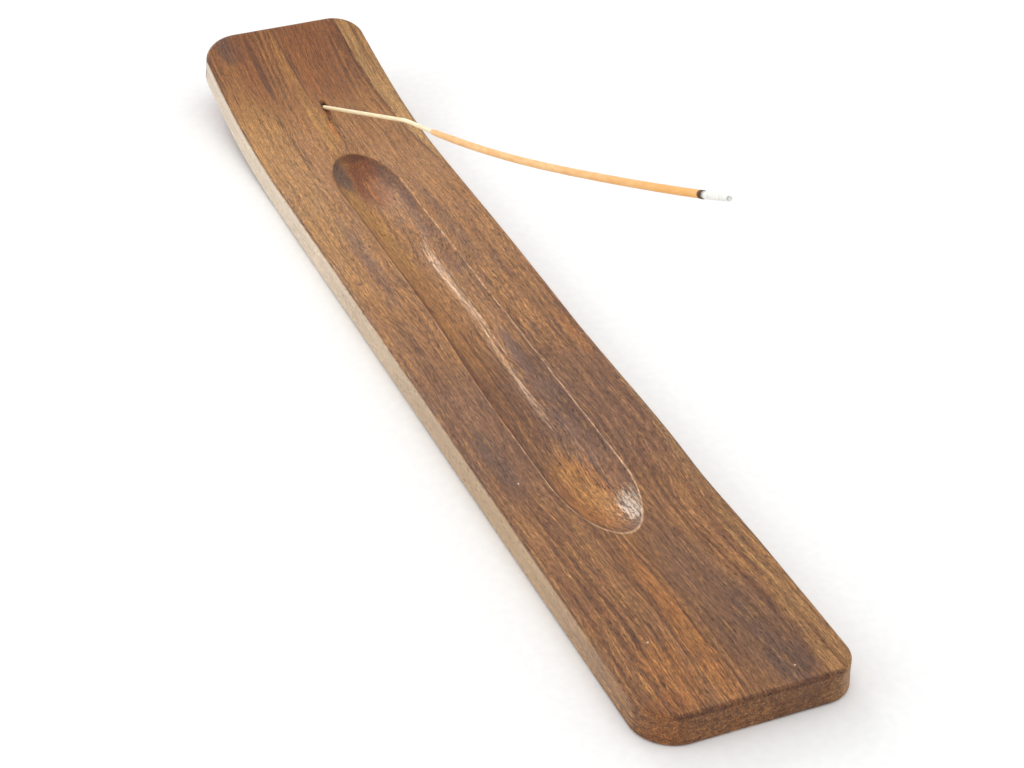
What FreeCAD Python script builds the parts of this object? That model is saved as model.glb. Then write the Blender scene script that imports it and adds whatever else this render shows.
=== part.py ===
import FreeCAD, Part
import math
import os
import Sketcher

# Incense burner: a hardwood ash catcher, bent up at one end, with an incense stick in its slanted hole.
# Millimetres. +X runs along the board towards its flat end, +Y across it and +Z up.
# The origin is at the bottom centre of the whole object's box, on the surface that the board rests on.
# Every body is drawn in a frame whose origin is where the flat underside meets the bend, and is then
# moved to the object's frame by its Placement.

SIZES = {
    # board: a plank, its length measured along the underside before the bend
    "board_length": 254,
    "board_width": 40,
    "board_thick": 6.5,
    "bend_length": 61,
    "bend_radius": 180,
    # the four corners in plan, hand-sanded to different radii, and the round-over of every long edge
    "corner_raised_left": 9,
    "corner_raised_right": 7,
    "corner_flat_left": 8,
    "corner_flat_right": 6,
    "edge_round": 0.7,
    # ash trough: places along the board are measured from the raised end
    "trough_place": 53,
    "trough_length": 153,
    "trough_width": 15,
    "trough_depth": 2.4,
    "trough_dish": 18,
    "trough_side": -0.4,
    # stick hole, blind, drilled along the stick's lean
    "hole_place": 32.5,
    "hole_side": 1.8,
    "hole_width": 1.6,
    "hole_depth": 8,
    "stick_lean": 22.7,
    # stick: a splint with a straight foot, a slight kink and a long gentle upward bow
    "splint_width": 0.9,
    "foot_gap": 0.3,
    "straight_run": 56,
    "kink_radius": 70,
    "kink_turn": 5.4,
    "bow_radius": 920,
    "bare_turn": 0.79,
    "taper_turn": 0.8,
    "bow_turn": 3.22,
    "tail_radius": 2200,
    "tail_turn": 1.64,
    # what is on the splint: the paste, which thickens from its start, the char and the ash
    "paste_start_width": 1.1,
    "paste_width": 1.42,
    "char_width": 1.48,
    "char_length": 1.2,
    "ash_width": 1.35,
    "ash_end_width": 0.95,
    "ash_length": 9.2,
}

# where the bend's start lies in the object's frame: the object's box runs from the rounded lower
# corner of the raised end to the flat end, and its middle is the origin
BEND_ANGLE = "(Sizes.bend_length / Sizes.bend_radius * 1 rad)"
FLAT_RUN = "(Sizes.board_length - Sizes.bend_length)"
RAISED_REACH = (
    f"(Sizes.bend_radius * sin({BEND_ANGLE})"
    f" - Sizes.edge_round * (sin({BEND_ANGLE}) + cos({BEND_ANGLE}) - 1))"
)
BEND_PLACE = f"({RAISED_REACH} - {FLAT_RUN}) / 2"

# the hole's mouth, on the bent top face
HOLE_ANGLE = "((Sizes.bend_length - Sizes.hole_place) / Sizes.bend_radius * 1 rad)"
TOP_RADIUS = "(Sizes.bend_radius - Sizes.board_thick)"
HOLE_X = f"-{TOP_RADIUS} * sin({HOLE_ANGLE})"
HOLE_Z = f"Sizes.bend_radius - {TOP_RADIUS} * cos({HOLE_ANGLE})"


# the full angle of the drill's point, in degrees
DRILL_POINT = 118

# the curved runs of the stick beyond its straight foot: radius, turn, and which way it turns (1 is up)
STICK_ARCS = {
    "kink": ("kink_radius", "kink_turn", -1),
    "bare": ("bow_radius", "bare_turn", 1),
    "taper": ("bow_radius", "taper_turn", 1),
    "bow": ("bow_radius", "bow_turn", 1),
    "tail": ("tail_radius", "tail_turn", 1),
}

# how a sketch numbers its own axes, and the ends and centre of a line or arc
ORIGIN = -1
START = 1
END = 2
MIDDLE = 3


def make_sheet(doc):
    sheet = doc.addObject("Spreadsheet::Sheet", "Sizes")
    for row, (name, value) in enumerate(SIZES.items(), start=1):
        sheet.set(f"A{row}", name)
        sheet.set(f"B{row}", str(value))
        sheet.setAlias(f"B{row}", name)
    doc.recompute()
    return sheet


def make_body(doc, name):
    body = doc.addObject("PartDesign::Body", name)
    body.Label = name
    body.setExpression("Placement.Base.x", BEND_PLACE)
    return body


def origin_plane(body, role):
    return next(feature for feature in body.Origin.OriginFeatures if feature.Role == role)


def upright_sketch(body, name, side="0"):
    """A sketch on the body's upright lengthwise plane, moved across the board by side."""
    sketch = body.newObject("Sketcher::SketchObject", name)
    sketch.AttachmentSupport = [(origin_plane(body, "XZ_Plane"), "")]
    sketch.MapMode = "FlatFace"
    sketch.setExpression("AttachmentOffset.Base.z", f"-({side})")
    return sketch


def lean_sketch(body, name):
    """An upright sketch whose X axis is the hole's axis, with its origin at the hole's mouth."""
    sketch = upright_sketch(body, name, "Sizes.hole_side")
    sketch.setExpression("AttachmentOffset.Base.x", HOLE_X)
    sketch.setExpression("AttachmentOffset.Base.y", HOLE_Z)
    sketch.setExpression("AttachmentOffset.Rotation.Angle", "Sizes.stick_lean")
    return sketch


def bind(sketch, name, formula, kind, *where):
    """Adds a named dimension to a sketch and ties it to the sheet."""
    index = sketch.addConstraint(Sketcher.Constraint(kind, *where))
    sketch.renameConstraint(index, name)
    sketch.setExpression(f"Constraints.{name}", formula)


def vector(x, y):
    return FreeCAD.Vector(x, y, 0)


def arc(centre, radius, first, last):
    """A counter-clockwise arc between two angles in radians."""
    circle = Part.Circle(centre, FreeCAD.Vector(0, 0, 1), radius)
    return Part.ArcOfCircle(circle, first, last)


def edge_at(feature, place):
    """The name of the feature's edge whose middle lies nearest to a place in the body's frame."""
    gaps = []
    for number, edge in enumerate(feature.Shape.Edges, start=1):
        middle = edge.valueAt((edge.FirstParameter + edge.LastParameter) / 2)
        gaps.append((middle.distanceToPoint(FreeCAD.Vector(*place)), number))
    return f"Edge{min(gaps)[1]}"


def round_over(body, name, places, radius):
    """A fillet on the edges at the given places, and on the edges that run on from them."""
    base = body.Tip
    fillet = body.newObject("PartDesign::Fillet", name)
    fillet.Base = (base, [edge_at(base, place) for place in places])
    fillet.setExpression("Radius", radius)
    body.Document.recompute()


def add_blank(board, sizes):
    """The plank: its bent side profile, as thick as the plank, carried across the width."""
    radius = sizes.bend_radius
    thick = sizes.board_thick
    flat = sizes.board_length - sizes.bend_length
    turn = sizes.bend_length / radius
    inner = radius - thick
    low_end = vector(-radius * math.sin(turn), radius - radius * math.cos(turn))
    high_end = vector(-inner * math.sin(turn), radius - inner * math.cos(turn))
    centre = vector(0, radius)
    down = -math.pi / 2

    sketch = upright_sketch(board, "side_profile")
    under_flat = sketch.addGeometry(Part.LineSegment(vector(flat, 0), vector(0, 0)))
    under_bend = sketch.addGeometry(arc(centre, radius, down - turn, down))
    raised_end = sketch.addGeometry(Part.LineSegment(low_end, high_end))
    top_bend = sketch.addGeometry(arc(centre, inner, down - turn, down))
    top_flat = sketch.addGeometry(Part.LineSegment(vector(0, thick), vector(flat, thick)))
    flat_end = sketch.addGeometry(Part.LineSegment(vector(flat, thick), vector(flat, 0)))
    for constraint in (
        Sketcher.Constraint("Coincident", under_flat, END, ORIGIN, START),
        Sketcher.Constraint("Horizontal", under_flat),
        Sketcher.Constraint("Tangent", under_flat, END, under_bend, END),
        Sketcher.Constraint("Coincident", under_bend, START, raised_end, START),
        Sketcher.Constraint("Coincident", raised_end, END, top_bend, START),
        Sketcher.Constraint("Coincident", under_bend, MIDDLE, top_bend, MIDDLE),
        Sketcher.Constraint("PointOnObject", under_bend, MIDDLE, raised_end),
        Sketcher.Constraint("Tangent", top_bend, END, top_flat, START),
        Sketcher.Constraint("Horizontal", top_flat),
        Sketcher.Constraint("Coincident", top_flat, END, flat_end, START),
        Sketcher.Constraint("Coincident", flat_end, END, under_flat, START),
        Sketcher.Constraint("Vertical", flat_end),
    ):
        sketch.addConstraint(constraint)
    bind(sketch, "radius", "Sizes.bend_radius", "Radius", under_bend, radius)
    bind(sketch, "turn", BEND_ANGLE, "Angle", under_bend, turn)
    bind(sketch, "flat", FLAT_RUN, "DistanceX", under_flat, END, under_flat, START, flat)
    bind(sketch, "thick", "Sizes.board_thick", "DistanceY", flat_end, END, flat_end, START, thick)

    plank = board.newObject("PartDesign::Pad", "plank")
    plank.Profile = sketch
    plank.SideType = "Symmetric"
    plank.setExpression("Length", "Sizes.board_width")
    board.Document.recompute()


def round_corners(board, sizes):
    """The four corners, each sanded to its own radius."""
    flat = sizes.board_length - sizes.bend_length
    half_width = sizes.board_width / 2
    turn = sizes.bend_length / sizes.bend_radius
    middle_radius = sizes.bend_radius - sizes.board_thick / 2
    raised_x = -middle_radius * math.sin(turn)
    raised_z = sizes.bend_radius - middle_radius * math.cos(turn)
    corners = {
        "corner_raised_left": (raised_x, -half_width, raised_z),
        "corner_raised_right": (raised_x, half_width, raised_z),
        "corner_flat_left": (flat, -half_width, sizes.board_thick / 2),
        "corner_flat_right": (flat, half_width, sizes.board_thick / 2),
    }
    for name, place in corners.items():
        round_over(board, name, [place], f"Sizes.{name}")


def round_edges(board, sizes):
    """The round-over of the plank's upper and lower edges, all the way round."""
    half_width = sizes.board_width / 2
    flat_middle = (sizes.board_length - sizes.bend_length) / 2
    places = [(flat_middle, half_width, sizes.board_thick), (flat_middle, half_width, 0)]
    round_over(board, "edge_rounding", places, "Sizes.edge_round")


def cut_trough(board, sizes):
    """The ash trough: a round-bottomed groove that rises to the top face along an arc at each end."""
    flat_start = sizes.bend_length
    bottom = sizes.board_thick - sizes.trough_depth
    axis_rise = (sizes.trough_width ** 2 / 4 - sizes.trough_depth ** 2) / (2 * sizes.trough_depth)
    axis = sizes.board_thick + axis_rise
    dish = sizes.trough_dish
    dish_radius = (dish ** 2 + sizes.trough_depth ** 2) / (2 * sizes.trough_depth)
    floor_start = sizes.trough_place + dish - flat_start
    floor_end = floor_start + sizes.trough_length - 2 * dish
    turn = 1.25 * math.asin(dish / dish_radius)
    down = -math.pi / 2
    overrun = dish_radius * math.sin(turn)
    rim = bottom + dish_radius * (1 - math.cos(turn))

    sketch = upright_sketch(board, "trough_profile", "Sizes.trough_side")
    floor = sketch.addGeometry(Part.LineSegment(vector(floor_start, bottom), vector(floor_end, bottom)))
    flat_dish = sketch.addGeometry(
        arc(vector(floor_end, bottom + dish_radius), dish_radius, down, down + turn)
    )
    flat_wall = sketch.addGeometry(
        Part.LineSegment(vector(floor_end + overrun, rim), vector(floor_end + overrun, axis))
    )
    middle_line = sketch.addGeometry(
        Part.LineSegment(vector(floor_end + overrun, axis), vector(floor_start - overrun, axis))
    )
    raised_wall = sketch.addGeometry(
        Part.LineSegment(vector(floor_start - overrun, axis), vector(floor_start - overrun, rim))
    )
    raised_dish = sketch.addGeometry(
        arc(vector(floor_start, bottom + dish_radius), dish_radius, down - turn, down)
    )
    for constraint in (
        Sketcher.Constraint("Horizontal", floor),
        Sketcher.Constraint("Tangent", floor, END, flat_dish, START),
        Sketcher.Constraint("Coincident", flat_dish, END, flat_wall, START),
        Sketcher.Constraint("Vertical", flat_wall),
        Sketcher.Constraint("Coincident", flat_wall, END, middle_line, START),
        Sketcher.Constraint("Horizontal", middle_line),
        Sketcher.Constraint("Coincident", middle_line, END, raised_wall, START),
        Sketcher.Constraint("Vertical", raised_wall),
        Sketcher.Constraint("Coincident", raised_wall, END, raised_dish, START),
        Sketcher.Constraint("Tangent", raised_dish, END, floor, START),
        Sketcher.Constraint("Equal", raised_dish, flat_dish),
    ):
        sketch.addConstraint(constraint)
    depth = "Sizes.trough_depth"
    dish_formula = f"(Sizes.trough_dish ^ 2 + {depth} ^ 2) / (2 * {depth})"
    turn_formula = f"1.25 * asin(Sizes.trough_dish / ({dish_formula}))"
    bind(sketch, "dish", dish_formula, "Radius", flat_dish, dish_radius)
    bind(sketch, "flat_turn", turn_formula, "Angle", flat_dish, turn)
    bind(sketch, "raised_turn", turn_formula, "Angle", raised_dish, turn)
    bind(sketch, "floor_run", "Sizes.trough_length - 2 * Sizes.trough_dish",
         "DistanceX", floor, START, floor, END, floor_end - floor_start)
    bind(sketch, "floor_place", "Sizes.trough_place + Sizes.trough_dish - Sizes.bend_length",
         "DistanceX", ORIGIN, START, floor, START, floor_start)
    bind(sketch, "floor_height", f"Sizes.board_thick - {depth}",
         "DistanceY", ORIGIN, START, floor, START, bottom)
    axis_formula = f"Sizes.board_thick + (Sizes.trough_width ^ 2 / 4 - {depth} ^ 2) / (2 * {depth})"
    bind(sketch, "axis_height", axis_formula, "DistanceY", ORIGIN, START, middle_line, START, axis)

    trough = board.newObject("PartDesign::Groove", "ash_trough")
    trough.Profile = sketch
    trough.ReferenceAxis = (sketch, [f"Edge{middle_line + 1}"])
    trough.Angle = 360
    board.Document.recompute()


def drill_hole(board, sizes):
    """The blind stick hole, drilled aslant with a pointed drill."""
    radius = sizes.hole_width / 2
    depth = sizes.hole_depth
    point = radius / math.tan(math.radians(DRILL_POINT / 2))
    clear = 3 * sizes.hole_width
    corners = [vector(-depth - point, 0), vector(-depth, radius), vector(clear, radius), vector(clear, 0)]

    sketch = lean_sketch(board, "hole_profile")
    lines = [
        sketch.addGeometry(Part.LineSegment(here, there))
        for here, there in zip(corners, corners[1:] + corners[:1])
    ]
    cone, wall, mouth, axis = lines
    for line, following in zip(lines, lines[1:] + lines[:1]):
        sketch.addConstraint(Sketcher.Constraint("Coincident", line, END, following, START))
    sketch.addConstraint(Sketcher.Constraint("Horizontal", wall))
    sketch.addConstraint(Sketcher.Constraint("Vertical", mouth))
    sketch.addConstraint(Sketcher.Constraint("PointOnObject", axis, START, ORIGIN))
    sketch.addConstraint(Sketcher.Constraint("PointOnObject", axis, END, ORIGIN))
    bind(sketch, "radius", "Sizes.hole_width / 2", "DistanceY", mouth, END, mouth, START, radius)
    bind(sketch, "depth", "Sizes.hole_depth", "DistanceX", cone, END, ORIGIN, START, depth)
    bind(sketch, "point", f"Sizes.hole_width / 2 / tan({DRILL_POINT} / 2)",
         "DistanceX", cone, START, cone, END, point)
    bind(sketch, "clear", "3 * Sizes.hole_width", "DistanceX", ORIGIN, START, mouth, START, clear)

    hole = board.newObject("PartDesign::Groove", "stick_hole")
    hole.Profile = sketch
    hole.ReferenceAxis = (sketch, [f"Edge{axis + 1}"])
    hole.Angle = 360
    board.Document.recompute()


def draw_stick_line(body, sizes, runs):
    """The stick's middle line, drawn whole in every body of the stick; only the given runs are swept.

    It leaves the hole straight, turns down a little at the kink, and then bows slowly upwards.
    """
    sketch = lean_sketch(body, "middle_line")
    place = vector(0, 0)
    heading = 0
    chain = {}

    foot = sketch.addGeometry(
        Part.LineSegment(vector(-sizes.hole_depth + sizes.foot_gap, 0), vector(sizes.straight_run, 0))
    )
    chain["straight"] = foot
    sketch.addConstraint(Sketcher.Constraint("PointOnObject", foot, START, ORIGIN))
    sketch.addConstraint(Sketcher.Constraint("PointOnObject", foot, END, ORIGIN))
    bind(sketch, "inserted", "Sizes.hole_depth - Sizes.foot_gap",
         "DistanceX", foot, START, ORIGIN, START, sizes.hole_depth - sizes.foot_gap)
    bind(sketch, "straight", "Sizes.straight_run",
         "DistanceX", ORIGIN, START, foot, END, sizes.straight_run)
    place = vector(sizes.straight_run, 0)

    last = foot
    last_end = END
    for name, (radius_name, turn_name, way) in STICK_ARCS.items():
        radius = getattr(sizes, radius_name)
        turn = math.radians(getattr(sizes, turn_name))
        side = heading + way * math.pi / 2
        centre = place + radius * vector(math.cos(side), math.sin(side))
        first = side + math.pi
        reached = first + way * turn
        run = sketch.addGeometry(arc(centre, radius, min(first, reached), max(first, reached)))
        near_end, far_end = (START, END) if way > 0 else (END, START)
        sketch.addConstraint(Sketcher.Constraint("Tangent", last, last_end, run, near_end))
        bind(sketch, f"{name}_radius", f"Sizes.{radius_name}", "Radius", run, radius)
        bind(sketch, f"{name}_turn", f"Sizes.{turn_name} * 1 deg", "Angle", run, turn)
        place = centre + radius * vector(math.cos(reached), math.sin(reached))
        heading += way * turn
        chain[name] = run
        last, last_end = run, far_end
    for name, run in chain.items():
        sketch.setConstruction(run, name not in runs)
    body.Document.recompute()
    return sketch


def round_section(body, name, line, edge, along, width, beyond="0"):
    """A circle square to the middle line, at the start (along 0) or end (along 1) of an edge or beyond."""
    sketch = body.newObject("Sketcher::SketchObject", name)
    sketch.AttachmentSupport = [(line, edge)]
    sketch.MapMode = "NormalToEdge"
    sketch.MapPathParameter = along
    sketch.MapReversed = True
    sketch.setExpression("AttachmentOffset.Base.z", beyond)
    circle = sketch.addGeometry(Part.Circle(vector(0, 0), FreeCAD.Vector(0, 0, 1), 1))
    sketch.addConstraint(Sketcher.Constraint("Coincident", circle, MIDDLE, ORIGIN, START))
    bind(sketch, "width", width, "Diameter", circle, 2)
    body.Document.recompute()
    return sketch


def sweep(body, kind, name, line, edges, sections):
    """A pipe along edges of the middle line, of one section or widening evenly between two."""
    pipe = body.newObject(f"PartDesign::{kind}Pipe", name)
    pipe.Profile = sections[0]
    pipe.Spine = (line, edges)
    if sections[1:]:
        pipe.Transformation = "Multisection"
        pipe.Sections = sections[1:]
    body.Document.recompute()
    return pipe


def make_board(doc, sizes):
    board = make_body(doc, "board")
    add_blank(board, sizes)
    round_corners(board, sizes)
    round_edges(board, sizes)
    cut_trough(board, sizes)
    drill_hole(board, sizes)
    return board


def make_bamboo_core(doc, sizes):
    """The split-bamboo splint, from the hole's bottom to the char."""
    core = make_body(doc, "bamboo_core")
    line = draw_stick_line(core, sizes, ["straight", *STICK_ARCS])
    edges = [f"Edge{number + 1}" for number in range(len(line.Shape.Edges))]
    section = round_section(core, "splint_section", line, "Edge1", 0, "Sizes.splint_width")
    sweep(core, "Additive", "splint", line, edges, [section])
    return core


def make_incense_coating(doc, sizes):
    """The paste rolled on the splint: it thickens over the taper, and the splint runs through its bore."""
    coating = make_body(doc, "incense_coating")
    line = draw_stick_line(coating, sizes, ["taper", "bow", "tail"])
    start = round_section(coating, "start_section", line, "Edge1", 0, "Sizes.paste_start_width")
    full = round_section(coating, "full_section", line, "Edge1", 1, "Sizes.paste_width")
    bore = round_section(coating, "bore_section", line, "Edge1", 0, "Sizes.splint_width")
    sweep(coating, "Additive", "paste_taper", line, ["Edge1"], [start, full])
    sweep(coating, "Additive", "paste", line, ["Edge2", "Edge3"], [full])
    sweep(coating, "Subtractive", "splint_bore", line, ["Edge1", "Edge2", "Edge3"], [bore])
    return coating


def make_char_ring(doc, sizes):
    """The charred end of the splint and its paste."""
    ring = make_body(doc, "char_ring")
    line = draw_stick_line(ring, sizes, ["tail"])
    disc = ring.newObject("PartDesign::Pad", "charred_end")
    disc.Profile = round_section(ring, "char_section", line, "Edge1", 1, "Sizes.char_width")
    disc.setExpression("Length", "Sizes.char_length")
    doc.recompute()
    return ring


def make_ash_tip(doc, sizes):
    """The ash that still hangs on, shrunk and tapering."""
    ash = make_body(doc, "ash_tip")
    line = draw_stick_line(ash, sizes, ["tail"])
    base = round_section(ash, "ash_base", line, "Edge1", 1, "Sizes.ash_width", "Sizes.char_length")
    tip = round_section(ash, "ash_end", line, "Edge1", 1, "Sizes.ash_end_width",
                        "Sizes.char_length + Sizes.ash_length")
    taper = ash.newObject("PartDesign::AdditiveLoft", "ash_taper")
    taper.Profile = base
    taper.Sections = [tip]
    doc.recompute()
    return ash


def check(doc, parts):
    for thing in doc.Objects:
        if "Invalid" in thing.State or "Error" in thing.State:
            raise RuntimeError(f"{thing.Name} failed: {thing.State}")
    for part in parts:
        if part.Shape.isNull() or not part.Shape.isValid() or len(part.Shape.Solids) != 1:
            raise RuntimeError(f"{part.Label} is not one sound solid")
        print(f"{part.Label}: {part.Shape.Volume:.1f} cubic millimetres")


def main():
    doc = FreeCAD.newDocument("incense_burner")
    sizes = make_sheet(doc)
    parts = [
        make_board(doc, sizes),
        make_bamboo_core(doc, sizes),
        make_incense_coating(doc, sizes),
        make_char_ring(doc, sizes),
        make_ash_tip(doc, sizes),
    ]
    doc.recompute()
    check(doc, parts)
    os.makedirs("parts", exist_ok=True)
    for part in parts:
        part.Shape.exportStep(f"parts/{part.Label}.step")


main()
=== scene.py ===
import math

import bmesh
import bpy
from mathutils import Matrix, Vector, noise


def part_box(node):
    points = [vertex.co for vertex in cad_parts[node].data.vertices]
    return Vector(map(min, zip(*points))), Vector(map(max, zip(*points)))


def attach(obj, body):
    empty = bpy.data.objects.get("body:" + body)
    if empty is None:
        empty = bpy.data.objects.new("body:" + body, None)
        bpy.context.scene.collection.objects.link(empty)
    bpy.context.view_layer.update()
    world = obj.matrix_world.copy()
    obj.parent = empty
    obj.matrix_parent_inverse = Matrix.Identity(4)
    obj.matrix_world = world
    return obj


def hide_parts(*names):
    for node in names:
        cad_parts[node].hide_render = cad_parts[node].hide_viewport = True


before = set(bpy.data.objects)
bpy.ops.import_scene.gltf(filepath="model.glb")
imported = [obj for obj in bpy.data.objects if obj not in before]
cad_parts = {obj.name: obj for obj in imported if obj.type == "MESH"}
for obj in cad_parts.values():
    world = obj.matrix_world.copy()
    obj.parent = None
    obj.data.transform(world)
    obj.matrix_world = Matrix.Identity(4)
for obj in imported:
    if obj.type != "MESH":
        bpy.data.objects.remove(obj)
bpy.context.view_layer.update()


# ---------------------------------------------------------------------------------------------
# The board: one plank of brown hardwood, steamed and bent up at one end, with the ash trough run
# in by a round-nosed cutter and the stick hole drilled aslant. Its corners and edges are sanded by
# hand, so no two are quite alike, and it is wiped with satin lacquer.
# ---------------------------------------------------------------------------------------------
MM = 0.001


def loft(shape, rings, stations):
    """A skin of rings, each extruded from the one before and laid on the pattern station by station."""
    skin = bmesh.new()
    station = skin.verts.layers.int.new("station")
    pattern_place = skin.verts.layers.float_vector.new("pattern_place")

    def lay(verts, ring):
        for vert in verts:
            flat_place = ring(vert[station])
            vert[pattern_place] = flat_place / MM
            vert.co = shape(flat_place)

    bmesh.ops.create_circle(skin, cap_ends=False, radius=1, segments=stations)
    for number, vert in enumerate(skin.verts):
        vert[station] = number
    lay(skin.verts, rings[0])
    edges = skin.edges[:]
    for ring in rings[1:]:
        made = bmesh.ops.extrude_edge_only(skin, edges=edges)["geom"]
        fresh = {item for item in made if isinstance(item, bmesh.types.BMVert)}
        edges = [item for item in made if isinstance(item, bmesh.types.BMEdge) and set(item.verts) <= fresh]
        lay(fresh, ring)
    bmesh.ops.remove_doubles(skin, verts=skin.verts, dist=1e-7)
    bmesh.ops.recalc_face_normals(skin, faces=skin.faces)
    return skin


def finished(skin, name):
    """The skin as an object at the origin, smooth-shaded."""
    mesh = bpy.data.meshes.new(name)
    for face in skin.faces:
        face.smooth = True
    skin.to_mesh(mesh)
    skin.free()
    piece = bpy.data.objects.new(name, mesh)
    bpy.context.scene.collection.objects.link(piece)
    return piece


class Shader:
    """Adds nodes to a material or a node group, each wired as it is made."""

    def __init__(self, tree):
        self.tree = tree

    def node(self, kind, inputs=None, **settings):
        made = self.tree.nodes.new("ShaderNode" + kind)
        for name, value in settings.items():
            setattr(made, name, value)
        for name, value in (inputs or {}).items():
            if isinstance(value, bpy.types.NodeSocket):
                self.tree.links.new(value, made.inputs[name])
            else:
                made.inputs[name].default_value = value
        return made

    def maths(self, operation, *values):
        return self.node("Math", dict(enumerate(values)), operation=operation).outputs[0]

    def times(self, first, second):
        return self.maths("MULTIPLY", first, second)

    def vectors(self, operation, *values):
        return self.node("VectorMath", dict(enumerate(values)), operation=operation).outputs[0]

    def ramp(self, value, low, high, to_low=0.0, to_high=1.0, smooth=True):
        kind = "SMOOTHSTEP" if smooth else "LINEAR"
        span = {"Value": value, "From Min": low, "From Max": high, "To Min": to_low, "To Max": to_high}
        return self.node("MapRange", span, interpolation_type=kind).outputs[0]

    def noise(self, vector, stretch, detail=2.0, roughness=0.5):
        """Noise whose grains measure stretch (along, across, through), in the units of the vector."""
        scaled = self.vectors("DIVIDE", vector, stretch)
        inputs = {"Vector": scaled, "Scale": 1.0, "Detail": detail, "Roughness": roughness}
        return self.node("TexNoise", inputs).outputs["Fac"]

    def mix(self, share, first, second):
        made = self.node("Mix", data_type="RGBA")
        for socket, value in ((0, share), (6, first), (7, second)):
            if isinstance(value, bpy.types.NodeSocket):
                self.tree.links.new(value, made.inputs[socket])
            else:
                made.inputs[socket].default_value = value
        return made.outputs[2]

    def bump(self, height, distance, strength=1.0, normal=None):
        inputs = {"Height": height, "Distance": distance, "Strength": strength}
        if normal:
            inputs["Normal"] = normal
        return self.node("Bump", inputs).outputs[0]


def colour(red, green, blue):
    """A paint-card colour, 0 to 255, as the linear light it sends back."""
    parts = [part / 255 for part in (red, green, blue)]
    return [part / 12.92 if part <= 0.04045 else ((part + 0.055) / 1.055) ** 2.4 for part in parts] + [1.0]


def group(name, inputs, outputs):
    """An empty node group with named float, vector and colour sockets, and its two ends."""
    tree = bpy.data.node_groups.new(name, "ShaderNodeTree")
    for names, way in ((inputs, "INPUT"), (outputs, "OUTPUT")):
        for socket, kind in names.items():
            tree.interface.new_socket(socket, in_out=way, socket_type="NodeSocket" + kind)
    ends = Shader(tree)
    return ends, tree.nodes.new("NodeGroupInput").outputs, tree.nodes.new("NodeGroupOutput").inputs


def material(name):
    """A new material: its nodes, its Principled shader and its place on the pattern in millimetres."""
    made = bpy.data.materials.new(name)
    made.use_nodes = True
    nodes = Shader(made.node_tree)
    place = nodes.node("Attribute", attribute_name="pattern_place").outputs["Vector"]
    return made, nodes, made.node_tree.nodes["Principled BSDF"].inputs, place


BOARD_LENGTH = 254 * MM
BOARD_THICK = 6.5 * MM
BEND_LENGTH = 61 * MM
BEND_RADIUS = 180 * MM
EDGE_ROUND = 0.6 * MM
CORNERS = {"raised_right": 7 * MM, "raised_left": 9 * MM, "flat_left": 8 * MM, "flat_right": 6 * MM}
# Hollows sanded into the right edge: place along it, half length and depth.
HOLLOWS = ((142 * MM, 26 * MM, 0.5 * MM), (196 * MM, 13 * MM, 0.45 * MM), (2 * MM, 12 * MM, 0.3 * MM))
LEFT_SANDED = 0.5 * MM
TROUGH_START = 53 * MM
TROUGH_LENGTH = 153 * MM
TROUGH_WIDTH = 15 * MM
TROUGH_DEPTH = 2.4 * MM
RAISED_DISH = 16 * MM
FLAT_DISH = 20 * MM
TROUGH_SIDE = -0.2 * MM
FLAT_DISH_DRIFT = 0.3 * MM
# The left wall is steeper than the right one up to the first place, and flatter from the second.
LEFT_WALL = ((118 * MM, 1.087), (160 * MM, 0.932))
RIM_SOFTNESS = 0.05 * MM

board_low, board_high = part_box("board")
half_width = (board_high.y - board_low.y) / 2
bend_place = board_high.x - (BOARD_LENGTH - BEND_LENGTH)


def bent(flat_place):
    """Where a point of the straight plank (along, across, up) lies once its raised end is bent."""
    turn = max(0, BEND_LENGTH - flat_place.x) / BEND_RADIUS
    run = max(0, flat_place.x - BEND_LENGTH)
    reach = BEND_RADIUS - flat_place.z
    along = bend_place + run - reach * math.sin(turn)
    return Vector((along, flat_place.y, BEND_RADIUS - reach * math.cos(turn)))


def unbent(place):
    """The same point back on the straight plank."""
    if place.x >= bend_place:
        return Vector((BEND_LENGTH + place.x - bend_place, place.y, place.z))
    turn = math.atan2(bend_place - place.x, BEND_RADIUS - place.z)
    reach = math.hypot(bend_place - place.x, BEND_RADIUS - place.z)
    return Vector((BEND_LENGTH - turn * BEND_RADIUS, place.y, BEND_RADIUS - reach))


# The trough is the print of a round bar that lies on the plank and thins along an arc at its ends.
bar_rise = (TROUGH_WIDTH ** 2 / 4 - TROUGH_DEPTH ** 2) / (2 * TROUGH_DEPTH)
floor_start = TROUGH_START + RAISED_DISH
floor_end = TROUGH_START + TROUGH_LENGTH - FLAT_DISH


def eased(value, low, high):
    share = min(max((value - low) / (high - low), 0), 1)
    return share * share * (3 - 2 * share)


def left_steepness(along):
    (first, steep), (last, flat) = LEFT_WALL
    return steep + (flat - steep) * eased(along, first, last)


def trough_floor(along):
    """Depth of the trough on its middle line; less than nothing beyond its ends."""
    dish = RAISED_DISH if along < floor_start else FLAT_DISH
    past = max(floor_start - along, along - floor_end, 0)
    radius = (dish ** 2 + TROUGH_DEPTH ** 2) / (2 * TROUGH_DEPTH)
    return TROUGH_DEPTH - radius + math.sqrt(max(radius ** 2 - past ** 2, 0))


def trough_middle(along):
    """The cutter was lifted out a little to the left at the flat end."""
    return TROUGH_SIDE - FLAT_DISH_DRIFT * eased(along, floor_end, floor_end + 0.8 * FLAT_DISH)


def below_top(along, across):
    """How far the cutter's bar lies below the plank's top; less than nothing outside the trough."""
    off = across - trough_middle(along)
    if off < 0:
        off *= left_steepness(along)
    reach = max(bar_rise + trough_floor(along), 0) ** 2 - off ** 2
    return math.sqrt(max(reach, 0)) - bar_rise


def trough_depth(along, across):
    """Depth of the trough anywhere, running out softly over its sanded rim."""
    depth = below_top(along, across)
    return (depth + math.hypot(depth, RIM_SOFTNESS)) / 2


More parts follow.
